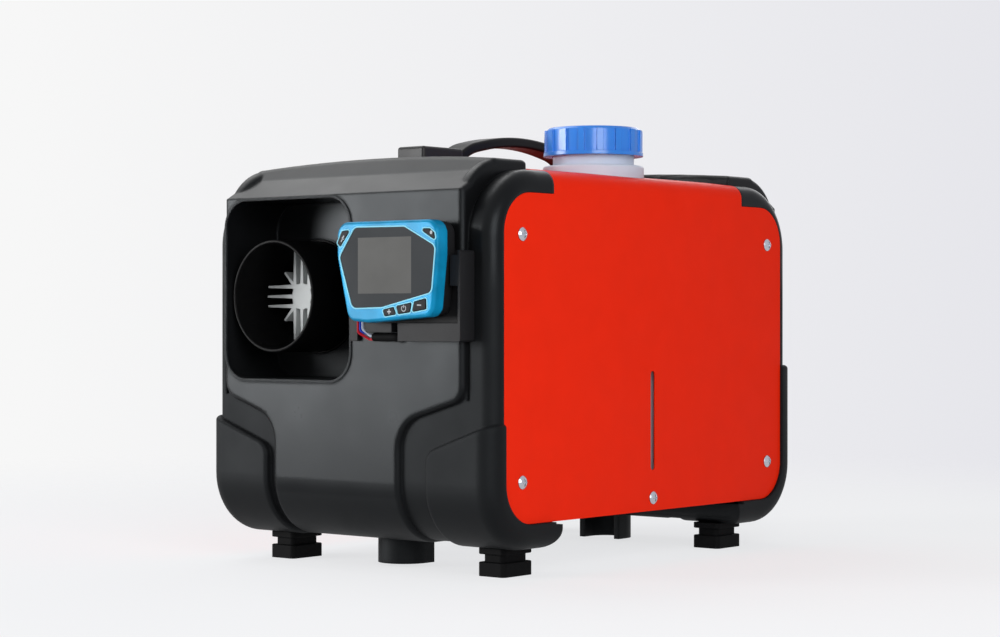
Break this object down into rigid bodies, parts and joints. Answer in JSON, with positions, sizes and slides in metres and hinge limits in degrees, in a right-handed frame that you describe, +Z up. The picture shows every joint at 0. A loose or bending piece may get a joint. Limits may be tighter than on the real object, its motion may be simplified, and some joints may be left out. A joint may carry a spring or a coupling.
{
  "type": "portable diesel air heater",
  "caption": "Portable all-in-one diesel air heater: black end shells, red steel cover, round hot-air outlet, remote controller in a cradle, filler cap and carrying strap.",
  "frame": {"origin": "middle of the whole object's box, on the floor under the feet", "axes": "+Z up, -Y out of the hot-air outlet, +X towards the side with the filler cap"},
  "size_m": [0.2502, 0.38, 0.2935],
  "materials": {
    "shell": "moulded polypropylene, dark grey-black, satin",
    "cover_red": "red powder coat, satin gloss",
    "pan": "galvanised steel sheet",
    "foot": "black rubber",
    "screw": "bright zinc",
    "strap": "soft moulded strap, black",
    "handle": "moulded, black",
    "tank": "natural polyethylene, milky",
    "cap_blue": "moulded, blue",
    "seal": "black rubber",
    "fitting": "machined",
    "cradle": "moulded, black",
    "controller": "moulded, black",
    "bezel_blue": "metallic blue lacquer",
    "lens": "smoked acrylic",
    "display": "liquid crystal display, off",
    "board": "circuit board",
    "button": "moulded, black",
    "lead_red": "insulated wire",
    "lead_blue": "insulated wire",
    "lead_white": "insulated wire",
    "sleeve": "black sleeving",
    "collar": "heat-proof nylon, black",
    "heater_case": "heat-proof nylon, black",
    "casting": "die casting",
    "motor": "drawn steel can",
    "fan": "glass-filled nylon",
    "pipe": "stainless steel",
    "intake": "black duct",
    "pump": "zinc-plated steel",
    "filter": "clear nylon",
    "hose": "fuel hose"
  },
  "bodies": {
    "root": {"front_shell": "shell", "rear_shell": "shell", "intake_grille": "shell", "wrap_cover": "cover_red", "base_pan": "pan", "heater_stand": "pan", "pump_clamp": "pan", "foot_front_left": "foot", "foot_front_right": "foot", "foot_rear_left": "foot", "foot_rear_right": "foot", "tank_pads": "foot", "foot_screws": "screw", "foot_nuts": "screw", "cover_screws": "screw", "handle_screws": "screw", "handle_strap": "strap", "handle_cap_front": "handle", "handle_cap_rear": "handle", "fuel_tank": "tank", "flange_gasket": "seal", "tank_outlet": "fitting", "controller_cradle": "cradle", "cable_gland": "cradle", "controller_housing": "controller", "controller_bezel": "bezel_blue", "controller_lens": "lens", "controller_display": "display", "controller_board": "board", "lead_red": "lead_red", "lead_blue": "lead_blue", "lead_white": "lead_white", "lead_sleeve": "sleeve", "outlet_collar": "collar", "heater_case_lower": "heater_case", "heater_case_upper": "heater_case", "control_unit": "heater_case", "heat_exchanger": "casting", "burner": "casting", "fan_housing": "casting", "fan_motor": "motor", "glow_plug": "motor", "overheat_sensor": "fan", "exhaust_pipe": "pipe", "intake_pipe": "intake", "fuel_pump": "pump", "fuel_filter": "filter", "hose_tank": "hose", "hose_filter": "hose", "hose_heater": "hose"},
    "cap_lift": {"cap_seal": "seal"},
    "cap": {"filler_cap": "cap_blue"},
    "rotor": {"motor_shaft": "motor", "combustion_wheel": "fan", "main_fan": "fan"},
    "button_settings": {"button_settings": "button"},
    "button_mode": {"button_mode": "button"},
    "button_plus": {"button_plus": "button"},
    "button_power": {"button_power": "button"},
    "button_minus": {"button_minus": "button"}
  },
  "joints": [
    {"name": "cap_lift", "type": "slide", "parent": "root", "child": "cap_lift", "axis": [0, 0, 1], "range_m": [0, 0.045]},
    {"name": "cap_turn", "type": "hinge", "parent": "cap_lift", "child": "cap", "pos_m": [0.0725, 0.004, 0.28], "axis": [0, 0, 1], "range_deg": [0, 540]},
    {"name": "rotor_spin", "type": "hinge", "parent": "root", "child": "rotor", "pos_m": [-0.06765, 0.057, 0.1788], "axis": [0, 1, 0], "continuous": true},
    {"name": "press_settings", "type": "slide", "parent": "root", "child": "button_settings", "axis": [0, 1, 0], "range_m": [0, 0.0008], "stiffness_N_per_m": 250},
    {"name": "press_mode", "type": "slide", "parent": "root", "child": "button_mode", "axis": [0, 1, 0], "range_m": [0, 0.0008], "stiffness_N_per_m": 250},
    {"name": "press_plus", "type": "slide", "parent": "root", "child": "button_plus", "axis": [0, 1, 0], "range_m": [0, 0.0008], "stiffness_N_per_m": 250},
    {"name": "press_power", "type": "slide", "parent": "root", "child": "button_power", "axis": [0, 1, 0], "range_m": [0, 0.0008], "stiffness_N_per_m": 250},
    {"name": "press_minus", "type": "slide", "parent": "root", "child": "button_minus", "axis": [0, 1, 0], "range_m": [0, 0.0008], "stiffness_N_per_m": 250}
  ]
}
